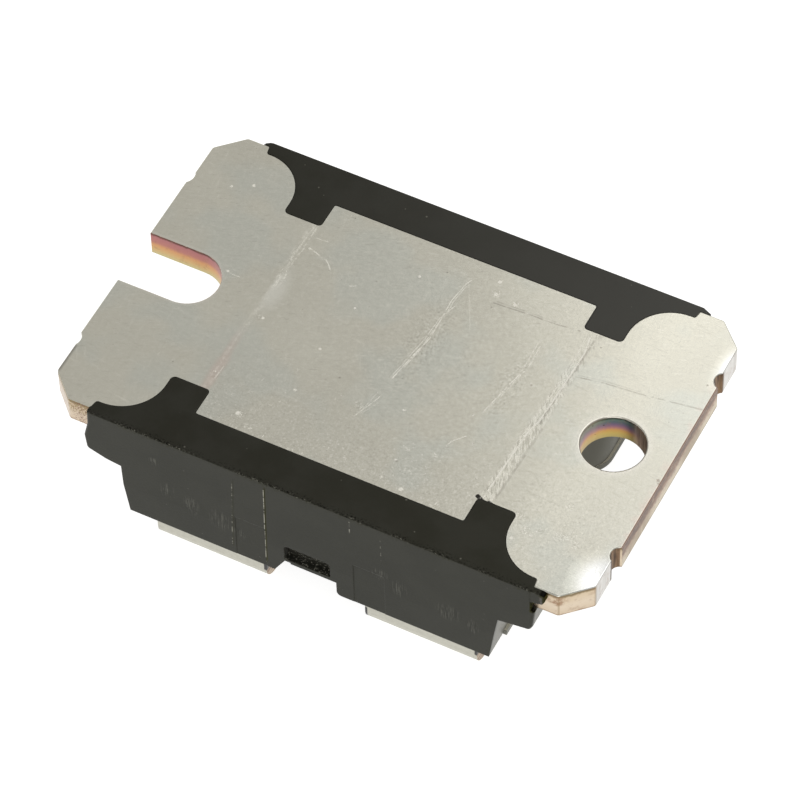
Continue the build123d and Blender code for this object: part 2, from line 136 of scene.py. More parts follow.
class Graph:
    """Small helper for writing shader maths; positions are in millimetres."""

    def __init__(self, name):
        self.mat = bpy.data.materials.new(name)
        self.mat.use_nodes = True
        self.t = self.mat.node_tree
        self.bsdf = self.t.nodes["Principled BSDF"]
        tc = self.t.nodes.new("ShaderNodeTexCoord")
        vm = self.t.nodes.new("ShaderNodeMapping")
        vm.vector_type = "POINT"
        self.t.links.new(tc.outputs["Object"], vm.inputs["Vector"])
        vm.inputs["Scale"].default_value = (1000.0, 1000.0, 1000.0)
        self.P = vm.outputs[0]
        sx = self.t.nodes.new("ShaderNodeSeparateXYZ")
        self.t.links.new(self.P, sx.inputs[0])
        self.x, self.y, self.z = sx.outputs
        geo = self.t.nodes.new("ShaderNodeNewGeometry")
        sn = self.t.nodes.new("ShaderNodeSeparateXYZ")
        self.t.links.new(geo.outputs["Normal"], sn.inputs[0])
        self.true_normal = geo.outputs["True Normal"]
        self.nx, self.ny, self.nz = sn.outputs
        self.Q = self.v("MULTIPLY", self.P, (1, 1, 0))

    def _in(self, sock, v):
        if hasattr(v, "node"):
            self.t.links.new(v, sock)
        elif isinstance(v, (int, float)) and sock.type in ("VECTOR", "RGBA"):
            sock.default_value = (v,) * len(sock.default_value)
        elif isinstance(v, (tuple, list)) and sock.type == "RGBA" and len(v) == 3:
            sock.default_value = (*v, 1.0)
        else:
            sock.default_value = v

    def m(self, op, a, b=0.0, c=0.0, clamp=False):
        n = self.t.nodes.new("ShaderNodeMath")
        n.operation = op
        n.use_clamp = clamp
        self._in(n.inputs[0], a)
        self._in(n.inputs[1], b)
        self._in(n.inputs[2], c)
        return n.outputs[0]

    def add(self, a, b): return self.m("ADD", a, b)
    def sub(self, a, b): return self.m("SUBTRACT", a, b)
    def mul(self, a, b, *more):
        r = self.m("MULTIPLY", a, b)
        for k in more:
            r = self.m("MULTIPLY", r, k)
        return r
    def mad(self, a, b, c): return self.m("MULTIPLY_ADD", a, b, c)
    def abs(self, a): return self.m("ABSOLUTE", a)
    def min(self, a, b): return self.m("MINIMUM", a, b)
    def max(self, a, b, *more):
        r = self.m("MAXIMUM", a, b)
        for k in more:
            r = self.m("MAXIMUM", r, k)
        return r
    def inv(self, a): return self.m("SUBTRACT", 1.0, a)

    def v(self, op, a, b=None, scale=None):
        n = self.t.nodes.new("ShaderNodeVectorMath")
        n.operation = op
        self._in(n.inputs[0], a)
        if b is not None:
            self._in(n.inputs[1], b)
        if scale is not None:
            self._in(n.inputs["Scale"], scale)
        return n.outputs["Value"] if op in ("LENGTH", "DISTANCE", "DOT_PRODUCT") else n.outputs[0]

    def step(self, a, lo, hi, smooth=True):
        """0 below lo, 1 above hi (or falling if lo > hi)."""
        n = self.t.nodes.new("ShaderNodeMapRange")
        n.interpolation_type = "SMOOTHSTEP" if smooth else "LINEAR"
        n.clamp = not smooth
        self._in(n.inputs["Value"], a)
        if lo <= hi:
            f0, f1, t0, t1 = lo, hi, 0.0, 1.0
        else:
            f0, f1, t0, t1 = hi, lo, 1.0, 0.0
        n.inputs["From Min"].default_value = f0
        n.inputs["From Max"].default_value = f1
        n.inputs["To Min"].default_value = t0
        n.inputs["To Max"].default_value = t1
        return n.outputs["Result"]

    def inside(self, a, lo, hi, soft=0.05):
        return self.mul(self.step(a, lo - soft, lo + soft), self.step(a, hi + soft, hi - soft))

    def box(self, x0, x1, y0, y1, soft=0.05):
        return self.mul(self.inside(self.x, x0, x1, soft), self.inside(self.y, y0, y1, soft))

    def noise(self, scale, detail=2.0, rough=0.5, vec=None, dist=0.0, dim="3D", colour=False):
        n = self.t.nodes.new("ShaderNodeTexNoise")
        n.noise_dimensions = dim
        self._in(n.inputs["Vector"], vec if vec is not None else self.P)
        n.inputs["Scale"].default_value = scale
        n.inputs["Detail"].default_value = detail
        n.inputs["Roughness"].default_value = rough
        n.inputs["Distortion"].default_value = dist
        return n.outputs["Color" if colour else "Fac"]

    def voronoi(self, scale, vec=None, rand=1.0, feature="F1"):
        n = self.t.nodes.new("ShaderNodeTexVoronoi")
        n.feature = feature
        self._in(n.inputs["Vector"], vec if vec is not None else self.P)
        n.inputs["Scale"].default_value = scale
        n.inputs["Randomness"].default_value = rand
        return n.outputs["Distance"], n.outputs["Color"]

    def stretch(self, kx, ky, kz, turn=0.0, offset=(0, 0, 0)):
        """Position turned about Z, then scaled per axis."""
        a = self.t.nodes.new("ShaderNodeMapping")
        a.vector_type = "POINT"
        n = self.t.nodes.new("ShaderNodeMapping")
        n.vector_type = "POINT"
        a.inputs["Rotation"].default_value = (0, 0, math.radians(turn))
        self._in(a.inputs["Vector"], self.P)
        self._in(n.inputs["Vector"], a.outputs[0])
        n.inputs["Scale"].default_value = (kx, ky, kz)
        n.inputs["Location"].default_value = offset
        return n.outputs[0]

    def shift(self, offset, vec=None):
        """Position moved by a fixed amount, to draw another part of a texture."""
        n = self.t.nodes.new("ShaderNodeMapping")
        n.vector_type = "POINT"
        self._in(n.inputs["Vector"], vec if vec is not None else self.P)
        n.inputs["Location"].default_value = offset
        return n.outputs[0]

    def mix(self, fac, a, b, blend="MIX"):
        n = self.t.nodes.new("ShaderNodeMix")
        n.data_type = "RGBA"
        n.blend_type = blend
        n.clamp_factor = True
        ca = [i for i in n.inputs if i.type == "RGBA"]
        self._in(n.inputs[0], fac)
        self._in(ca[0], a)
        self._in(ca[1], b)
        return [o for o in n.outputs if o.type == "RGBA"][0]

    def mixf(self, fac, a, b):
        n = self.t.nodes.new("ShaderNodeMix")
        n.data_type = "FLOAT"
        self._in(n.inputs[0], fac)
        fl = [i for i in n.inputs if i.type == "VALUE"]
        self._in(fl[1], a)
        self._in(fl[2], b)
        return n.outputs[0]

    def ramp(self, fac, stops):
        n = self.t.nodes.new("ShaderNodeValToRGB")
        e = n.color_ramp.elements
        while len(e) > 1:
            e.remove(e[-1])
        for i, (p, c) in enumerate(stops):
            el = e[0] if i == 0 else e.new(p)
            el.position = p
            el.color = c if len(c) == 4 else (*c, 1.0)
        self._in(n.inputs[0], fac)
        return n.outputs[0]

    def seg(self, p0, p1, width, soft=None):
        """1 on the segment in plan, falling to 0 at width from it."""
        p0, p1 = Vector((*p0, 0)), Vector((*p1, 0))
        u = p1 - p0
        L2 = u.length_squared
        d = self.v("SUBTRACT", self.Q, tuple(p0))
        t = self.v("DOT_PRODUCT", d, tuple(u / L2))
        t = self.m("MINIMUM", self.m("MAXIMUM", t, 0.0), 1.0)
        off = self.v("SUBTRACT", d, self.v("SCALE", tuple(u), scale=t))
        return self.step(self.v("LENGTH", off), width, width * 0.25 if soft is None else soft)

    def path(self, pts, width):
        r = None
        for a, b in zip(pts, pts[1:]):
            q = self.seg(a, b, width)
            r = q if r is None else self.m("MAXIMUM", r, q)
        return r

    def specks(self, scale, size, share, seed=0.0, vec=None):
        """Sparse round specks: size in mm, share of cells that hold one."""
        d, c = self.voronoi(scale, vec=self.shift((seed, seed * 0.7, seed * 1.3), vec))
        sc = self.t.nodes.new("ShaderNodeSeparateColor")
        self._in(sc.inputs[0], c)
        has = self.step(sc.outputs[0], share, share - 0.02)
        r = self.mad(sc.outputs[1], size * scale, size * scale * 0.35)
        k = self.m("DIVIDE", d, r)
        return self.mul(self.step(k, 1.0, 0.5), has)

    def bump(self, height, distance_mm, strength=1.0, normal=None):
        n = self.t.nodes.new("ShaderNodeBump")
        n.inputs["Strength"].default_value = strength
        n.inputs["Distance"].default_value = distance_mm * MM
        self._in(n.inputs["Height"], height)
        if normal is not None:
            self._in(n.inputs["Normal"], normal)
        return n.outputs[0]

    def bevel(self, radius_mm, samples=4):
        n = self.t.nodes.new("ShaderNodeBevel")
        n.samples = samples
        n.inputs["Radius"].default_value = radius_mm * MM
        return n.outputs[0]

    def edge(self, bevel_normal, lo=0.002, hi=0.12):
        """Where the rounded normal leaves the flat one: worn edges."""
        d = self.v("DOT_PRODUCT", bevel_normal, self.true_normal)
        return self.step(self.inv(d), lo, hi)

    def put(self, **kw):
        names = {"color": "Base Color", "rough": "Roughness", "metal": "Metallic", "normal": "Normal",
                 "ior": "IOR", "spec": "Specular IOR Level", "coat": "Coat Weight", "aniso": "Anisotropic"}
        for k, v in kw.items():
            self._in(self.bsdf.inputs[names[k]], v)
        return self.mat


# ---------------------------------------------------------------- nickelled plate
# scratches in the mounting face: points in mm, width in mm, weight
SCRATCHES = [
    ([(1.32, 7.83), (1.13, 7.37), (0.91, 5.80), (0.97, 4.56), (1.06, 2.43), (0.79, 0.86), (0.48, -0.90), (0.32, -1.70)], 0.060, 0.85),
    ([(1.31, 5.45), (0.89, 4.15), (0.79, 2.11), (0.46, -0.02)], 0.048, 0.6),
    ([(0.85, 1.43), (0.59, -0.14), (0.38, -1.67)], 0.058, 0.95),
    ([(0.62, 1.10), (0.40, -0.60), (0.24, -1.50)], 0.045, 0.7),
    ([(0.42, -2.98), (0.15, -3.82), (-0.39, -5.24)], 0.058, 0.7),
    ([(0.09, -2.88), (-0.16, -4.59)], 0.050, 0.5),
    ([(7.39, 5.21), (7.41, 3.87), (7.45, 2.37)], 0.060, 0.45),
    ([(7.45, 2.37), (7.19, 1.18), (6.73, -1.26)], 0.062, 0.9),
    ([(7.81, 5.06), (7.69, 3.03)], 0.050, 0.4),
    ([(6.27, -1.75), (6.26, -2.29)], 0.050, 0.5),
    ([(6.60, -3.52), (5.99, -4.26), (5.83, -4.77)], 0.070, 0.6),
    ([(1.30, 7.46), (3.11, 3.99)], 0.060, 0.30),
    ([(0.98, 3.60), (0.92, 1.20), (0.66, -0.40)], 0.045, 0.8),
    ([(1.22, 7.20), (1.06, 5.80), (1.10, 4.60)], 0.045, 0.55),
    ([(7.62, 4.90), (7.66, 3.10), (7.30, 1.10), (6.90, -0.90)], 0.045, 0.55),
    ([(9.86, 6.80), (10.06, 5.00), (10.00, 2.40), (9.88, -0.30), (9.62, -2.60)], 0.048, 0.6),
    ([(-0.20, -5.00), (0.30, -4.10), (0.62, -3.20)], 0.045, 0.4),
    ([(-9.20, 5.57), (-8.95, 5.50), (-8.41, 5.31)], 0.085, 0.8),
    ([(-7.82, 5.15), (-7.50, 4.90), (-7.20, 4.53)], 0.075, 0.8),
    ([(-9.24, 6.48), (-8.39, 6.53)], 0.050, 0.6),
    ([(-5.44, 3.93), (-5.10, 4.10)], 0.070, 0.6),
    ([(-13.18, 1.56), (-12.68, 1.44), (-12.10, 1.45)], 0.070, 0.7),
    ([(-9.64, -6.46), (-9.60, -5.40)], 0.075, 0.7),
    ([(10.14, 6.93), (10.36, 5.61), (10.30, 2.55), (10.18, -0.34), (9.93, -1.52), (9.80, -4.37), (9.72, -7.25)], 0.100, 1.25),
]
DARK_LINES = [
    ([(3.42, 6.77), (5.76, 6.93), (7.65, 6.97), (9.32, 7.16)], 0.085, 0.55),
    ([(3.60, 6.95), (5.76, 7.08), (7.65, 7.12)], 0.060, 0.35),
    ([(10.71, 3.73), (12.24, 4.04), (14.90, 4.30), (18.97, 4.91)], 0.085, 0.50),
    ([(10.80, 3.90), (12.24, 4.20), (14.90, 4.46)], 0.055, 0.30),
    ([(10.48, 7.10), (10.47, 4.23), (10.34, 3.09), (10.30, 0.59), (10.30, -0.62)], 0.110, 0.60),
    ([(10.62, -0.96), (10.52, -3.98), (10.40, -6.96)], 0.130, 0.45),
]
CLUSTERS = [(15.28, -7.94, 0.55), (15.84, -7.54, 0.50), (13.11, -8.39, 0.45), (14.82, -5.58, 0.42), (12.25, -7.62, 0.40), (16.36, -8.04, 0.45),
            (13.97, -8.05, 0.35), (-9.4, -0.9, 0.30), (-6.9, -8.3, 0.35), (3.2, 7.5, 0.45), (-0.4, -4.4, 0.40), (4.7, 7.3, 0.3)]
DINGS = [(-9.2, 5.52, 0.11), (-13.03, 1.55, 0.12), (-4.33, 2.47, 0.10), (-4.78, -1.46, 0.13), (-9.2, -0.85, 0.13), (-4.67, -5.06, 0.14),
         (-7.02, -8.27, 0.20), (4.85, -9.02, 0.20), (3.0, 8.48, 0.16), (4.69, 7.22, 0.12), (3.25, 7.45, 0.17), (-9.9, -6.0, 0.12),
         (-14.9, 8.6, 0.16), (-16.2, 7.9, 0.13), (12.6, -9.3, 0.15), (13.6, -8.6, 0.13), (2.2, -3.4, 0.13), (-1.8, 6.6, 0.12)]


def plate_material():
    g = Graph("plate_nickel")
    top = g.step(g.nz, 0.35, 0.75)
    d = g.sub(TOPMM, g.z)                     # depth below the mounting face
    # cloudy satin nickel, warm and cool patches
    cloud = g.noise(0.13, 3, 0.55)
    tint = g.noise(0.20, 2, 0.5, vec=g.shift((31, 7, 0)))
    grain = g.noise(3.4, 4, 0.68)
    fine = g.noise(13.0, 2, 0.6)
    face = g.mix(g.step(cloud, 0.32, 0.68), (0.712, 0.694, 0.602), (0.752, 0.735, 0.640))
    face = g.mix(g.mul(g.step(tint, 0.45, 0.62), 0.70), face, (0.690, 0.706, 0.640))
    fleck = g.noise(1.0, 4, 0.75, vec=g.stretch(1.3, 6.5, 1, -24.4))
    face = g.mix(g.mul(g.step(fleck, 0.56, 0.68), 0.42), face, (0.840, 0.826, 0.740))
    face = g.mix(g.mul(g.step(fleck, 0.43, 0.31), 0.42), face, (0.560, 0.545, 0.478))
    face = g.mix(g.mul(g.step(grain, 0.46, 0.72), 0.30), face, (0.800, 0.786, 0.700))
    face = g.mix(g.mul(g.step(grain, 0.42, 0.24), 0.25), face, (0.640, 0.624, 0.548))
    # light rubbing in a few directions, in patches
    patch = g.step(g.noise(0.30, 3, 0.6, vec=g.shift((5, 19, 0))), 0.46, 0.62)
    rub_y = g.noise(1.0, 4, 0.7, vec=g.stretch(5.5, 0.45, 1, -8))
    rub_x = g.noise(1.0, 4, 0.7, vec=g.stretch(0.50, 5.0, 1, 6))
    rub_d = g.noise(1.0, 4, 0.7, vec=g.stretch(0.60, 6.0, 1, 63))
    rub = g.max(g.mul(g.step(rub_y, 0.58, 0.72), 0.6), g.mul(g.step(rub_d, 0.58, 0.72), patch), g.mul(g.step(rub_x, 0.58, 0.72), 0.8))
    face = g.mix(g.mul(g.step(rub_x, 0.46, 0.30), g.mad(g.step(g.x, 8.5, 11.0), 0.10, 0.12)), face, (0.52, 0.50, 0.43))
    face = g.mix(g.mul(g.step(rub_y, 0.44, 0.28), 0.12), face, (0.56, 0.54, 0.47))
    # small bright dings, dark specks, short scratches at several angles
    front = g.step(g.y, -2.5, -8.5)
    mid = g.mul(g.step(g.abs(g.x), 9.6, 9.2), 1.0)
    dens = g.mad(g.mul(front, mid), 1.3, 0.42)
    ding = g.specks(0.62, 0.13, 0.42, 3.1)
    pin = g.specks(1.7, 0.050, 0.34, 17.3)
    dark = g.max(g.specks(0.80, 0.075, 0.34, 11.7), g.mul(g.specks(0.62, 0.13, 0.42, 3.1, g.shift((-0.09, 0.07, 0))), 0.9))
    dark2 = g.specks(1.9, 0.040, 0.22, 61.0)
    dash1 = g.specks(1.0, 0.090, 0.42, 5.0, g.stretch(1.7, 0.42, 1, 12))
    dash2 = g.specks(1.0, 0.085, 0.40, 25.0, g.stretch(1.9, 0.45, 1, -42))
    dash3 = g.specks(1.0, 0.080, 0.38, 45.0, g.stretch(1.9, 0.50, 1, 64))
    bruise = g.mul(g.step(g.noise(2.6, 4, 0.75), 0.585, 0.70), g.step(g.noise(0.42, 2, 0.5, vec=g.shift((40, 3, 0))), 0.47, 0.62),
                   g.mad(g.mul(front, mid), 0.8, 0.20))
    broken = g.noise(4.0, 3, 0.75)
    chew = g.step(broken, 0.36, 0.56)
    nick = g.step(g.noise(9.0, 2, 0.6, vec=g.shift((1, 4, 9))), 0.40, 0.54)
    ding = g.mul(ding, nick)
    marks = g.mul(g.max(g.mul(ding, 0.8), g.mul(pin, 0.7), g.mul(dash1, 0.7), g.max(g.mul(dash2, 0.65), g.mul(dash3, 0.55))), chew, dens)
    big = None
    for x0, y0, r in DINGS:
        q = g.step(g.v("DISTANCE", g.Q, (x0, y0, 0)), r, r * 0.45)
        big = q if big is None else g.max(big, q)
    for x0, y0, r in CLUSTERS:
        q = g.step(g.v("DISTANCE", g.Q, (x0, y0, 0)), r, r * 0.3)
        cl = q if x0 == CLUSTERS[0][0] else g.max(cl, q)
    crush = g.noise(7.0, 4, 0.8, vec=g.shift((2, 6, 0)))
    big = g.max(g.mul(big, g.step(broken, 0.34, 0.50)), g.mul(cl, g.step(crush, 0.52, 0.62)))
    face = g.mix(g.mul(cl, g.step(crush, 0.46, 0.38), 0.5), face, (0.42, 0.40, 0.34))
    # where the mould's clamps rubbed, from tab to tab
    wob = g.mad(g.noise(0.55, 2, 0.5), 0.9, -0.45)
    lx = g.add(g.add(g.x, 9.86), g.mul(wob, 0.6))
    tabs = g.inside(g.y, -7.5, 7.5, 0.3)
    hair = g.noise(1.0, 4, 0.75, vec=g.stretch(7.0, 0.9, 1, 4))
    left = g.mul(g.max(g.mul(g.step(g.abs(lx), 0.28, 0.04), g.mad(g.step(g.y, 0.5, 3.0), 0.35, 0.45)),
                       g.mul(g.step(g.abs(g.sub(lx, 0.30)), 0.10, 0.02), g.step(g.y, 1.0, 3.0))), tabs,
                 g.step(g.add(g.mul(hair, 0.5), g.mul(broken, 0.5)), 0.44, 0.60))
    rx = g.sub(g.x, g.mad(g.y, 0.035, 10.16))
    strip = g.mul(g.step(g.abs(rx), 0.62, 0.30), tabs)
    hatch = g.noise(1.0, 3, 0.7, vec=g.stretch(1.6, 8.5, 1, 62.7))
    right = g.mul(strip, g.step(hatch, 0.44, 0.62), g.step(g.y, 8.0, 2.0))
    flame = g.mul(g.step(g.v("LENGTH", g.v("MULTIPLY", g.v("SUBTRACT", g.P, (-9.6, 1.5, 0)), (1.0, 0.42, 0))), 1.15, 0.2), g.step(g.x, -10.15, -9.8))
    # scratches
    scr = None
    for pts, w, k in SCRATCHES:
        q = g.mul(g.path(pts, w * 0.85), k * 0.80)
        scr = q if scr is None else g.max(scr, q)
    scr = g.mul(scr, g.mad(g.step(g.noise(2.2, 3, 0.75), 0.38, 0.54), 0.8, 0.2))
    # crazed plating round the long scratches
    busy = g.max(g.mul(front, mid), g.mul(g.step(g.x, 10.9, 12.0), g.step(g.y, -2.5, -6.0), 0.6))
    face = g.mix(g.mul(busy, g.step(crush, 0.575, 0.63), 0.80), face, (0.94, 0.92, 0.84))
    face = g.mix(g.mul(busy, g.step(crush, 0.45, 0.36), 0.45), face, (0.44, 0.42, 0.37))
    near_scr = g.max(g.step(g.v("LENGTH", g.v("MULTIPLY", g.v("SUBTRACT", g.P, (0.9, 2.0, 0)), (0.75, 0.22, 0))), 1.25, 0.3),
                     g.step(g.v("LENGTH", g.v("MULTIPLY", g.v("SUBTRACT", g.P, (7.3, 1.4, 0)), (0.85, 0.28, 0))), 1.1, 0.3))
    craze = g.noise(6.5, 3, 0.8, vec=g.shift((5, 5, 2)))
    face = g.mix(g.mul(near_scr, g.step(craze, 0.46, 0.38), 0.50), face, (0.42, 0.41, 0.36))
    face = g.mix(g.mul(near_scr, g.step(craze, 0.55, 0.62), 0.60), face, (0.90, 0.89, 0.80))
    dl = None
    for pts, w, k in DARK_LINES:
        q = g.mul(g.path(pts, w), k)
        dl = q if dl is None else g.max(dl, q)
    dl = g.mul(dl, g.step(g.noise(2.0, 3, 0.75, vec=g.shift((9, 9, 0))), 0.34, 0.54))
    bright = g.max(marks, g.mul(big, 0.95), g.mul(bruise, 0.75), g.mul(left, 0.60), g.max(g.mul(right, 0.50), scr, g.mul(rub, 0.20)))
    face = g.mix(g.mul(flame, 0.75), face, (0.88, 0.87, 0.79))
    face = g.mix(g.mul(strip, g.step(hatch, 0.50, 0.38), 0.42), face, (0.42, 0.40, 0.345))
    face = g.mix(g.mul(dl, 0.8), face, (0.30, 0.28, 0.24))
    face = g.mix(g.mul(g.max(dark, g.mul(dark2, 0.7)), 0.50), face, (0.26, 0.235, 0.19))
    pink = g.mul(g.step(g.abs(lx), 0.5, 0.1), g.step(g.y, -1.0, -5.0), g.inside(g.y, -7.6, 0, 0.2))
    fringe = g.mul(g.step(g.x, 18.3, 18.95), g.inside(g.y, -6.5, 7.0, 0.8), g.step(g.noise(0.8, 2, 0.6), 0.42, 0.6))
    face = g.mix(g.max(g.mul(pink, 0.30), g.mul(fringe, 0.22)), face, (0.80, 0.56, 0.50))
    # pale rims where the punches went through
    rh = g.v("LENGTH", g.v("SUBTRACT", g.Q, (15.1, 0, 0)))
    slot_r = g.max(g.v("LENGTH", g.v("SUBTRACT", g.Q, (-15.1, 0, 0))), 0.0)
    slot_d = g.mixf(g.step(g.x, -15.1, -15.11), slot_r, g.abs(g.y))
    halo = g.max(g.mul(g.step(rh, 2.75, 2.12), 0.6), g.mul(g.step(slot_d, 2.42, 2.16), g.step(g.x, -12.4, -12.6), 0.8))
    face = g.mix(g.mul(halo, 0.6), face, (0.90, 0.87, 0.80))
    # resin smears by one tab, and a grey smear along one free end
    blob = g.max(g.seg((9.34, -7.36), (9.78, -7.58), 0.22), g.seg((10.18, -7.46), (10.40, -7.54), 0.16))
    face = g.mix(g.step(g.mul(blob, g.mad(g.noise(5.0, 2, 0.5), 1.0, 0.4)), 0.3, 0.5), face, (0.035, 0.032, 0.028))
    nick_e = g.mul(g.seg((18.80, -1.30), (19.0, -1.55), 0.17), g.step(g.noise(5.0, 2, 0.6), 0.36, 0.52))
    face = g.mix(g.mul(nick_e, 0.60), face, (0.30, 0.235, 0.19))
    smear = g.mul(g.step(g.add(g.x, 18.89), 0.30, 0.05), g.inside(g.y, -10.3, -8.05, 0.15))
    face = g.mix(g.mul(smear, 0.75), face, (0.26, 0.25, 0.22))

    # punched sides: bared copper, tarnished in bands from the top edge down
    streak = g.noise(1.0, 3, 0.65, vec=g.stretch(2.6, 2.6, 0.22, 0))
    along = g.noise(1.0, 3, 0.65, vec=g.stretch(0.5, 0.5, 6.0, 0))
    dd = g.mad(g.sub(streak, 0.5), 0.30, d)
    dn = g.m("DIVIDE", dd, 2.0)
    K = 0.86
    c = lambda r, gg, b: tuple(v * K for v in srgb(r, gg, b)[:3])
    # on the slot wall the pale first stop along the top edge is a painted highlight on the rim; the bands below it are
    # tarnish
    slot_c = g.ramp(dn, [(0.0, c(205, 170, 150)), (0.035, c(100, 66, 58)), (0.08, c(120, 80, 74)), (0.14, c(178, 118, 118)), (0.40, c(186, 126, 116)),
                         (0.56, c(212, 158, 110)), (0.78, c(212, 178, 124)), (1.0, c(204, 194, 146))])
    hole_c = g.ramp(dn, [(0.0, c(34, 42, 34)), (0.07, c(48, 62, 52)), (0.13, c(92, 112, 104)), (0.24, c(88, 100, 104)), (0.36, c(112, 94, 118)),
                         (0.47, c(148, 108, 122)), (0.57, c(182, 130, 106)), (0.64, c(198, 152, 86)), (0.80, c(192, 166, 92)), (1.0, c(176, 160, 104))])
    end_c = g.ramp(dn, [(0.0, c(128, 96, 80)), (0.03, c(98, 62, 44)), (0.22, c(108, 78, 56)), (0.36, c(132, 102, 76)), (0.47, c(172, 138, 116)),
                        (0.56, c(196, 178, 156)), (0.90, c(208, 198, 174)), (1.0, c(138, 120, 102))])
    end_c = g.mix(g.mul(g.step(along, 0.48, 0.64), g.step(dn, 0.62, 0.50), 0.6), end_c, c(92, 64, 54))
    end_c = g.mix(g.mul(g.step(along, 0.42, 0.30), 0.35), end_c, c(200, 176, 156))
    dirt = g.noise(1.0, 4, 0.8, vec=g.stretch(2.2, 2.2, 6.5, 0, (6, 2, 1)))
    end_c = g.mix(g.mul(g.step(dirt, 0.51, 0.58), g.step(dn, 0.85, 0.55), 0.70), end_c, c(84, 60, 42))
    end_c = g.mix(g.mul(g.step(dirt, 0.45, 0.38), 0.45), end_c, c(206, 186, 156))
    dusk = g.mul(g.max(g.step(g.abs(g.sub(g.y, 3.1)), 2.0, 0.8), g.step(g.abs(g.add(g.y, 4.6)), 2.2, 1.1)), g.step(streak, 0.20, 0.50))
    end_c = g.mix(g.mul(dusk, g.step(dn, 0.42, 0.58), 0.80), end_c, c(158, 140, 114))
    end_c = g.mix(g.mul(dusk, g.step(dn, 0.46, 0.36), 0.35), end_c, c(84, 60, 44))
    cham_c = g.ramp(dn, [(0.0, c(196, 184, 156)), (0.03, c(128, 112, 84)), (0.10, c(150, 132, 102)), (0.17, c(214, 195, 167)), (0.6, c(222, 206, 184)),
                         (0.93, c(214, 196, 172)), (1.0, c(160, 136, 112))])
    seg_c = g.mix(g.step(streak, 0.35, 0.65), c(222, 220, 216), c(206, 203, 198))
    ay_ = g.abs(g.y)
    ax_ = g.abs(g.x)
    in_hole = g.step(rh, 2.35, 2.25)
    in_slot = g.mul(g.step(ay_, 2.35, 2.25), g.step(g.x, -12.7, -12.8))
    side = g.mix(g.step(ay_, 8.0, 8.1), end_c, seg_c)
    on_cham = g.mul(g.step(g.abs(g.ny), 0.35, 0.45), g.step(g.abs(g.nx), 0.35, 0.45))
    side = g.mix(on_cham, side, cham_c)
    long_side = g.step(g.abs(g.ny), 0.85, 0.95)
    side = g.mix(long_side, side, cham_c)
    # brown stain where the cut corner starts, speckled tarnish at the slot end
    stain = g.mul(g.step(g.v("LENGTH", g.v("MULTIPLY", g.v("SUBTRACT", g.P, (17.0, -12.0, 11.15)), (0.9, 0.6, 1.3))), 0.85, 0.15),
                  g.step(g.noise(2.6, 4, 0.7), 0.40, 0.58))
    side = g.mix(g.mul(stain, 0.75), side, c(138, 92, 58))
    spk = g.mul(g.step(g.x, -14.0, -15.0), g.step(g.y, -9.0, -10.5), g.step(g.noise(6.5, 3, 0.8), 0.44, 0.54), g.step(d, 1.6, 0.7))
    side = g.mix(g.mul(spk, 0.75), side, c(140, 120, 74))
    scab = g.mul(g.step(g.x, -17.2, -16.4), g.step(g.x, -14.5, -15.0), g.step(g.y, -11.0, -11.6), g.step(g.noise(8.0, 3, 0.8, vec=g.shift((4, 1, 7))), 0.50, 0.58))
    side = g.mix(g.mul(scab, 0.8), side, c(110, 66, 62))
    corner_line = g.max(g.seg((17.17, -12.05), (17.17, -11.95), 0.10, 0.02), g.seg((18.89, -10.36), (18.89, -10.26), 0.10, 0.02))
    side = g.mix(g.mul(corner_line, 0.5), side, c(150, 126, 92))
    side = g.mix(in_slot, side, slot_c)
    # left of the hole the bands fade to beige, right of it they turn brown
    hole_r = g.mix(g.mul(g.step(g.x, 15.25, 16.1), 0.88), hole_c, g.mix(g.step(streak, 0.40, 0.62), c(166, 134, 116), c(226, 198, 176)))
    hole_r = g.mix(g.mul(g.step(g.x, 14.0, 13.1), 0.25), hole_r, g.mix(g.step(streak, 0.35, 0.65), c(206, 190, 152), c(190, 150, 126)))
    pits = g.specks(3.0, 0.080, 0.60, 9.0)
    hole_r = g.mix(g.mul(pits, g.step(g.x, 15.2, 14.4), 0.9), hole_r, c(60, 44, 30))
    side = g.mix(in_hole, side, hole_r)
    notch = g.mul(g.inside(ay_, 6.9, 8.25, 0.02), g.max(g.inside(g.x, 18.3, 18.93, 0.01), g.inside(g.x, -18.93, -18.3, 0.01)))
    side = g.mix(notch, side, g.mix(g.step(streak, 0.36, 0.62), c(72, 54, 40), c(136, 110, 84)))
    side = g.mix(g.mul(g.step(g.x, -17.0, -17.3), g.step(d, 0.35, 0.6), g.step(ay_, 2.4, 2.6), 0.55), side, c(214, 200, 188))
    side = g.mix(g.mul(g.step(g.x, -18.4, -18.8), g.step(d, 0.28, 0.12), g.step(g.noise(1.4, 3, 0.7), 0.40, 0.55), g.mul(g.step(ay_, 2.4, 2.6), 0.8)), side, c(84, 80, 66))
    blot = g.mul(g.step(g.noise(1.9, 4, 0.7), 0.52, 0.66), 0.30)
    side = g.mix(blot, side, c(150, 116, 92))
    q1 = g.max(g.inv(g.v("LENGTH", g.v("MULTIPLY", g.v("SUBTRACT", g.Q, (18.9, -9.8, 0)), (0.46, 0.36, 0)))), 0.0)
    q2 = g.max(g.inv(g.v("LENGTH", g.v("MULTIPLY", g.v("SUBTRACT", g.Q, (19.2, 8.7, 0)), (0.85, 0.38, 0)))), 0.0)
    roll = g.m("POWER", g.max(q1, g.mul(q2, 0.9)), 1.6)
    # painted shade: the top face darkened towards the hole end, where the back lamp's reflection grows brightest
    face = g.mix(g.step(g.x, 13.0, 18.8), face, (0.875, 0.878, 0.885), "MULTIPLY")
    colour = g.mix(top, side, face)
    colour = g.mix(g.mul(bright, top, 0.9), colour, (0.90, 0.875, 0.79))
    # painted highlight: the top lightened on the rolled-over corners of the hole end, where they catch the light
    colour = g.mix(g.mul(g.step(roll, 0.0, 0.50), top, 0.68), colour, (0.91, 0.925, 0.95))
    lip = g.mul(g.step(g.nz, 0.985, 0.93), g.step(g.nz, 0.05, 0.30))
    colour = g.mix(g.mul(lip, g.step(g.x, 18.6, 18.8), g.step(ay_, 7.0, 6.9)), colour, (0.34, 0.245, 0.20))
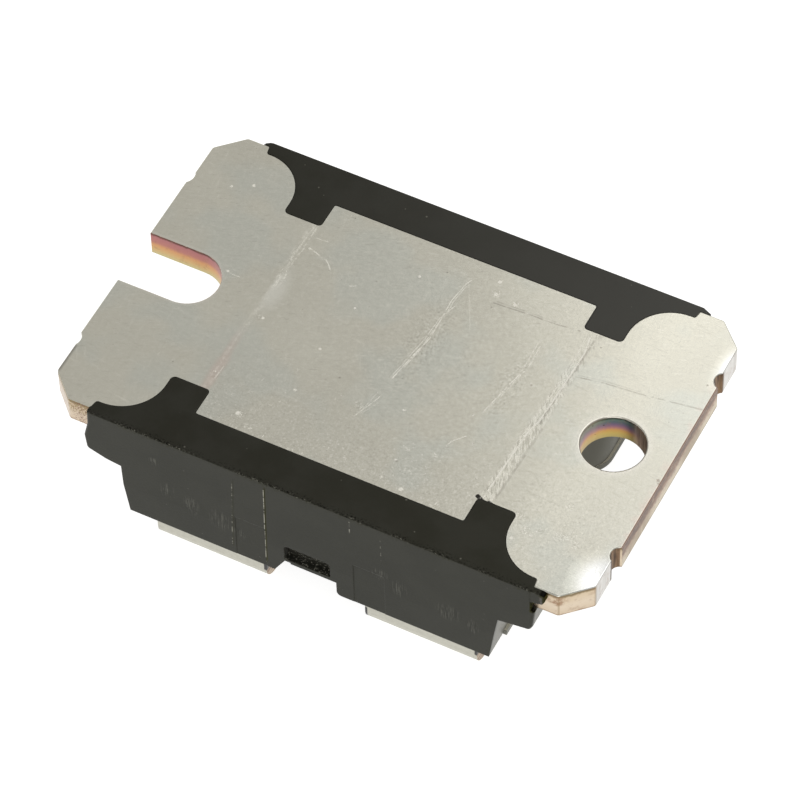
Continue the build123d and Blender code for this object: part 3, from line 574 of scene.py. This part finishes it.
    colour = g.mix(g.mul(lip, in_hole, 0.6), colour, (0.55, 0.52, 0.46))

    # rolled-over corners of the hole end
    rough = g.mixf(top, 0.38, g.mad(g.sub(grain, 0.5), 0.12, 0.195))
    rough = g.m("ADD", rough, g.mul(bright, top, 0.20))
    h = g.add(g.mul(grain, 0.5), g.mul(fine, 0.14))
    h = g.add(h, g.mul(rub_y, 0.10))
    h = g.mixf(top, g.add(g.mul(streak, 1.0), g.mul(fine, 0.3)), h)
    nrm = g.bump(h, 0.007, 0.5)
    nrm = g.bump(g.mul(roll, top, -1.0), 0.055, 1.0, nrm)
    metal = g.sub(1.0, g.mul(bright, top, 0.85))
    return g.put(color=colour, metal=metal, rough=rough, normal=nrm)


# ---------------------------------------------------------------- moulding resin
def resin_material():
    g = Graph("epoxy")
    bev = g.bevel(0.09, 4)
    edge = g.edge(bev, 0.004, 0.10)
    grain = g.noise(5.0, 4, 0.68)
    fine = g.noise(20.0, 2, 0.6)
    cloud = g.noise(0.35, 3, 0.55)
    col = g.mix(g.step(cloud, 0.35, 0.65), (0.0075, 0.0076, 0.0064), (0.0110, 0.0110, 0.0092))
    col = g.mix(g.mul(g.step(grain, 0.56, 0.76), 0.5), col, (0.020, 0.0195, 0.0165))
    # faces that look up are painted lighter than the sides, and lighter still towards +x and the back: painted light
    # and a painted sheen on the top
    upward = g.step(g.nz, 0.5, 0.8)
    sheen = g.mul(g.step(g.x, -14.0, 15.0, False), g.step(g.y, -2.0, 6.0))
    col = g.mix(upward, col, g.mix(g.step(cloud, 0.35, 0.65), (0.0155, 0.0150, 0.0130), (0.0215, 0.0210, 0.0190)))
    col = g.mix(g.mul(upward, sheen), col, (0.052, 0.051, 0.051))
    # chips and dust along the edges
    chip = g.mul(edge, g.step(g.noise(5.0, 3, 0.8, vec=g.shift((7, 1, 3))), 0.50, 0.58))
    crumbs = g.noise(7.5, 3, 0.8, vec=g.shift((3, 8, 1)))
    dots = g.step(crumbs, 0.46, 0.40)
    edge_d = g.v("LENGTH", g.v("MULTIPLY", g.v("SUBTRACT", g.P, (0, -12.4, 11.8)), (0, 1, 1)))
    runs = g.step(g.noise(0.42, 2, 0.5, vec=g.shift((3, 0, 5))), 0.40, 0.56)
    crumb = g.mul(g.step(crumbs, 0.57, 0.63), g.step(edge_d, 0.15, 0.05), g.mad(runs, 0.45, 0.10))
    pith = g.mul(dots, g.step(edge_d, 0.48, 0.16), g.mad(runs, 0.6, 0.4))
    dust = g.specks(1.2, 0.072, 0.36, 8.8)
    col = g.mix(g.mul(pith, 0.9), col, (0.002, 0.0018, 0.0015))
    col = g.mix(g.mul(chip, 0.45), col, (0.075, 0.072, 0.060))
    col = g.mix(g.mul(crumb, 0.9), col, (0.30, 0.29, 0.25))
    col = g.mix(g.mul(dust, g.mad(upward, 0.35, 0.30)), col, (0.15, 0.145, 0.125))
    # marks of the tool on the long side: fine upright step lines, painted as a highlight with a painted shadow just
    # beside each, and a few rubbed spots
    onf = g.mul(g.step(g.ny, -0.8, -0.95), g.step(g.z, 11.5, 11.2))

    # each step line: its painted highlight, and the painted shadow just beside it
    def vline(x0, lean, w, lo, hi, seed, z0=2.9, z1=11.5):
        b = g.step(g.noise(1.0, 3, 0.8, vec=g.stretch(0.2, 0.2, 2.8, 0, (seed, 0, 0))), lo, hi)
        xx = g.sub(g.sub(g.x, x0), g.mul(g.sub(g.z, 7.0), lean))
        return g.mul(g.step(g.abs(xx), w, w * 0.35), b, onf, g.inside(g.z, z0, z1, 0.2)), g.mul(g.step(g.abs(g.sub(xx, 0.07)), 0.07, 0.03), onf, g.inside(g.z, z0, z1, 0.2))

    l1, line_shadow1 = vline(-5.45, 0.040, 0.050, 0.50, 0.60, 1.0, 3.6, 10.8)
    l2, line_shadow2 = vline(-3.12, 0.018, 0.060, 0.44, 0.54, 2.0, 3.4)
    l3, line_shadow3 = vline(2.97, 0.0, 0.050, 0.44, 0.54, 3.0, 10.3, 11.6)
    l4, line_shadow4 = vline(5.15, -0.01, 0.045, 0.54, 0.62, 4.0, 7.2, 11.3)
    # painted shadow beside the step lines
    col = g.mix(g.mul(g.max(line_shadow2, g.mul(line_shadow1, 0.3)), 0.9), col, (0.001, 0.001, 0.001))
    line_highlights = g.max(g.mul(l1, 0.7), g.mul(l2, 1.0), g.mul(l3, 0.8), g.mul(l4, 0.4))
    # painted highlight on the step lines
    col = g.mix(g.mul(line_highlights, 0.9), col, (0.34, 0.33, 0.285))
    vert = g.noise(1.0, 3, 0.75, vec=g.stretch(10.0, 1.0, 0.75, 0, (3, 2, 5)))
    spots = None
    for x0, z0, rx, rz in ((-10.1, 6.8, 0.7, 0.9), (-8.4, 6.2, 0.7, 1.2), (-6.4, 5.9, 1.1, 1.2), (-5.0, 5.3, 0.6, 0.7), (5.0, 7.0, 0.9, 0.8), (6.35, 6.4, 0.7, 1.1), (9.8, 6.0, 1.2, 1.0), (11.5, 5.5, 0.6, 1.0), (-10.9, 9.3, 0.6, 0.5)):
        q = g.step(g.v("LENGTH", g.v("MULTIPLY", g.v("SUBTRACT", g.P, (x0, 0, z0)), (1 / rx, 0, 1 / rz))), 1.0, 0.4)
        spots = q if spots is None else g.max(spots, q)
    rubbed = g.mul(spots, onf, g.step(vert, 0.52, 0.62))
    col = g.mix(rubbed, col, (0.050, 0.049, 0.041))
    col = g.mix(g.mul(spots, onf, g.step(vert, 0.44, 0.36)), col, (0.003, 0.003, 0.0025))
    # broken surface inside the small window, painted lighter than the resin as painted light in the shaded recess; its
    # top band is painted black further down as the shadow under the upper lip
    win = g.mul(g.inside(g.x, -1.87, 1.5, 0.03), g.inside(g.z, 4.46, 5.98, 0.03), g.step(g.y, -12.39, -12.37), g.step(g.y, -10.0, -10.4))
    wn = g.noise(7.0, 4, 0.8)
    col = g.mix(win, col, g.mix(g.step(wn, 0.54, 0.66), (0.016, 0.016, 0.013), (0.34, 0.33, 0.28)))
    # pit and dark skin at one end of the flange
    tip = g.mul(g.step(g.x, 15.95, 16.15), g.step(g.y, -11.9, -12.0))
    tn = g.mix(g.step(grain, 0.42, 0.60), (0.0035, 0.003, 0.0025), (0.10, 0.088, 0.082))
    tip_rim = g.max(g.step(g.x, 16.2, 16.3), g.step(g.z, 11.5, 11.65))
    col = g.mix(tip, col, g.mix(tip_rim, tn, (0.004, 0.0034, 0.003)))
    pit = g.mul(g.inside(g.x, 15.40, 16.2, 0.03), g.inside(g.z, 9.6, 10.64, 0.03), g.step(g.y, -12.0, -12.15))
    col = g.mix(g.mul(pit, g.step(grain, 0.62, 0.50)), col, (0.002, 0.002, 0.002))
    # ends are painted paler than the long sides: painted light on the end faces
    ends = g.step(g.abs(g.nx), 0.75, 0.92)
    col = g.mix(g.mul(ends, 0.75), col, g.mix(g.step(grain, 0.35, 0.62), (0.046, 0.045, 0.039), (0.070, 0.069, 0.060)))
    # inside the screw-head rooms the skin is smoother; its walls are painted a light olive grey and the ledges that
    # face up paler still: painted light in these shaded recesses
    rr = g.min(g.v("LENGTH", g.v("SUBTRACT", g.Q, (15.1, 0, 0))), g.v("LENGTH", g.v("SUBTRACT", g.Q, (-15.1, 0, 0))))
    room = g.mul(g.step(rr, 10.2, 8.2), g.step(g.z, 10.0, 9.6), g.step(g.abs(g.y), 9.6, 8.4))
    col = g.mix(g.mul(room, 0.9), col, (0.124, 0.121, 0.104))
    col = g.mix(g.mul(room, upward), col, (0.74, 0.72, 0.61))
    # under the flange by the block ends: painted light in this shaded recess, lighter still on the ledges that face up
    tuck = g.mul(g.step(g.abs(g.x), 8.5, 11.5), g.step(g.z, 9.7, 9.5), g.step(g.abs(g.y), 12.25, 12.05), g.step(g.abs(g.y), 8.4, 9.6))
    col = g.mix(g.mul(tuck, 0.85), col, g.mix(g.step(grain, 0.40, 0.62), (0.145, 0.142, 0.122), (0.200, 0.196, 0.170)))
    col = g.mix(g.mul(tuck, upward), col, (0.62, 0.60, 0.50))
    rough = g.mad(g.sub(grain, 0.5), 0.20, 0.36)
    rough = g.mixf(room, rough, 0.62)
    rough = g.mixf(win, rough, 0.30)
    rough = g.m("ADD", rough, g.mul(g.max(chip, crumb, line_highlights), 0.3))
    # near black with no reflection: dark dots and pits on the edges and flange tip, plus painted shadows beside the
    # step lines and under the window's upper lip
    black_and_shadow = g.max(g.mul(pith, 0.9), g.mul(tip, tip_rim), g.mul(pit, g.step(grain, 0.66, 0.56)), g.mul(line_shadow2, 0.9))
    black_and_shadow = g.max(black_and_shadow, g.mul(line_shadow1, 0.3), g.mul(win, g.step(g.z, 5.72, 5.86)))
    col = g.mix(black_and_shadow, col, (0.006, 0.0055, 0.005))
    h = g.add(g.mul(grain, 0.6), g.mul(fine, 0.25))
    h = g.add(h, g.mul(g.max(rubbed, g.mul(win, wn, 2.0)), 0.5))
    nrm = g.bump(h, 0.016, 0.55, bev)
    g.bsdf.inputs["Specular Tint"].default_value = (1.0, 1.0, 0.66, 1.0)
    return g.put(color=col, metal=black_and_shadow, rough=rough, normal=nrm, ior=1.29)


# ---------------------------------------------------------------- other metals
def metal_material(name, a, b, rough, grain_scale=5.0, bump_mm=0.008, streak=(1, 1, 1), spot=None, edge_col=None):
    g = Graph(name)
    bev = g.bevel(0.06, 3)
    n1 = g.noise(grain_scale, 3, 0.6)
    n2 = g.noise(1.0, 3, 0.6, vec=g.stretch(*streak))
    col = g.mix(g.step(n1, 0.3, 0.7), a, b)
    col = g.mix(g.mul(g.step(n2, 0.5, 0.7), 0.4), col, tuple(v * 0.8 for v in a[:3]))
    if spot:
        sp = g.specks(1.2, 0.09, 0.35, 2.2)
        col = g.mix(g.mul(sp, 0.6), col, spot)
    if edge_col:
        col = g.mix(g.mul(g.edge(bev, 0.004, 0.10), 0.7), col, edge_col)
    r = g.mad(g.sub(n1, 0.5), 0.2, rough)
    return g.put(color=col, metal=1.0, rough=r, normal=g.bump(g.add(n1, g.mul(n2, 0.5)), bump_mm, 0.6, bev))


def dull_material(name, a, b, rough, scale, bump_mm, metal=0.0, ior=1.5):
    g = Graph(name)
    n1 = g.noise(scale, 4, 0.6)
    d, c = g.voronoi(scale * 0.8)
    col = g.mix(g.step(n1, 0.3, 0.7), a, b)
    col = g.mix(g.mul(g.step(d, 0.5, 0.1), 0.25), col, tuple(v * 0.7 for v in a[:3]))
    return g.put(color=col, metal=metal, rough=g.mad(g.sub(n1, 0.5), 0.2, rough), normal=g.bump(n1, bump_mm, 0.6), ior=ior)


def strap_material():
    g = Graph("terminal_nickel")
    bev = g.bevel(0.05, 3)
    n1 = g.noise(3.2, 4, 0.65)
    n2 = g.noise(1.0, 3, 0.65, vec=g.stretch(0.4, 4.0, 4.0))
    col = g.mix(g.step(n1, 0.3, 0.7), (0.465, 0.455, 0.395), (0.525, 0.515, 0.450))
    col = g.mix(g.mul(g.step(n2, 0.52, 0.70), 0.35), col, (0.60, 0.59, 0.52))
    sp = g.specks(1.3, 0.10, 0.35, 2.2)
    col = g.mix(g.mul(sp, 0.5), col, (0.30, 0.27, 0.21))
    # sheared ends show the copper
    strip = g.noise(1.0, 3, 0.7, vec=g.stretch(0.6, 0.6, 5.0))
    shear = g.step(g.abs(g.nx), 0.5, 0.7)
    col = g.mix(shear, col, g.mix(g.step(strip, 0.40, 0.60), (0.22, 0.135, 0.085), (0.46, 0.37, 0.27)))
    col = g.mix(g.mul(g.edge(bev, 0.004, 0.10), 0.5), col, (0.62, 0.58, 0.48))
    # near-black marks at the strap ends: a dark spot at the top of each right-hand end, and a thin resin rib at one
    # left-hand end
    out = g.step(g.y, -11.2, -11.5)
    end_spot = g.mul(g.step(g.abs(g.sub(g.x, 11.36)), 0.17, 0.11), g.step(g.z, 1.25, 1.42))
    end_spot = g.max(end_spot, g.mul(g.step(g.abs(g.add(g.x, 3.66)), 0.17, 0.11), g.step(g.z, 1.10, 1.30)))
    rib = g.mul(g.step(g.abs(g.sub(g.x, 3.53)), 0.11, 0.06), g.inside(g.z, 0.55, 1.70, 0.1))
    dark = g.mul(g.max(end_spot, rib), out)
    col = g.mix(dark, col, (0.006, 0.005, 0.004))
    r = g.mad(g.sub(n1, 0.5), 0.2, 0.38)
    return g.put(color=col, metal=g.sub(1.0, dark), rough=r, normal=g.bump(g.add(n1, g.mul(n2, 0.5)), 0.010, 0.6, bev))


MATS = {
    "plate": plate_material(),
    "resin": resin_material(),
    "strap": strap_material(),
    "nut": metal_material("nut_steel", (0.55, 0.55, 0.54), (0.66, 0.66, 0.64), 0.30, 6.0, 0.012, (3, 3, 0.6), (0.30, 0.24, 0.18), (0.75, 0.74, 0.70)),
    "copper": metal_material("copper", (0.80, 0.42, 0.28), (0.90, 0.54, 0.40), 0.34, 3.0, 0.010, (0.5, 3.0, 3.0), (0.45, 0.20, 0.13)),
    "solder": metal_material("solder", (0.50, 0.50, 0.50), (0.62, 0.62, 0.61), 0.42, 3.5, 0.020, (2, 2, 2), (0.30, 0.29, 0.28)),
    "wire": metal_material("wire_aluminium", (0.78, 0.78, 0.79), (0.86, 0.86, 0.87), 0.26, 8.0, 0.006, (1, 6, 6)),
    "alumina": dull_material("alumina", (0.82, 0.81, 0.77), (0.90, 0.89, 0.86), 0.55, 5.0, 0.010),
    "silicon": dull_material("silicon", (0.10, 0.105, 0.12), (0.15, 0.155, 0.17), 0.22, 1.4, 0.004, 0.6),
}
PAINT = (("base_plate", "plate"), ("housing", "resin"), ("substrate_solder", "solder"), ("substrate_back_copper", "copper"),
         ("substrate_ceramic", "alumina"), ("cathode_pad", "copper"), ("anode_pad", "copper"), ("die_solder", "solder"),
         ("diode_chip", "silicon"), ("bond_wires", "wire"), ("terminal_solder", "solder"), ("terminal_", "strap"), ("nut_", "nut"))
for n, o in nodes.items():
    key = next(k for p, k in PAINT if n.startswith(p))
    if not o.data.materials:
        o.data.materials.append(None)
    for i in range(len(o.material_slots)):
        o.material_slots[i].link = "OBJECT"
        o.material_slots[i].material = MATS[key]
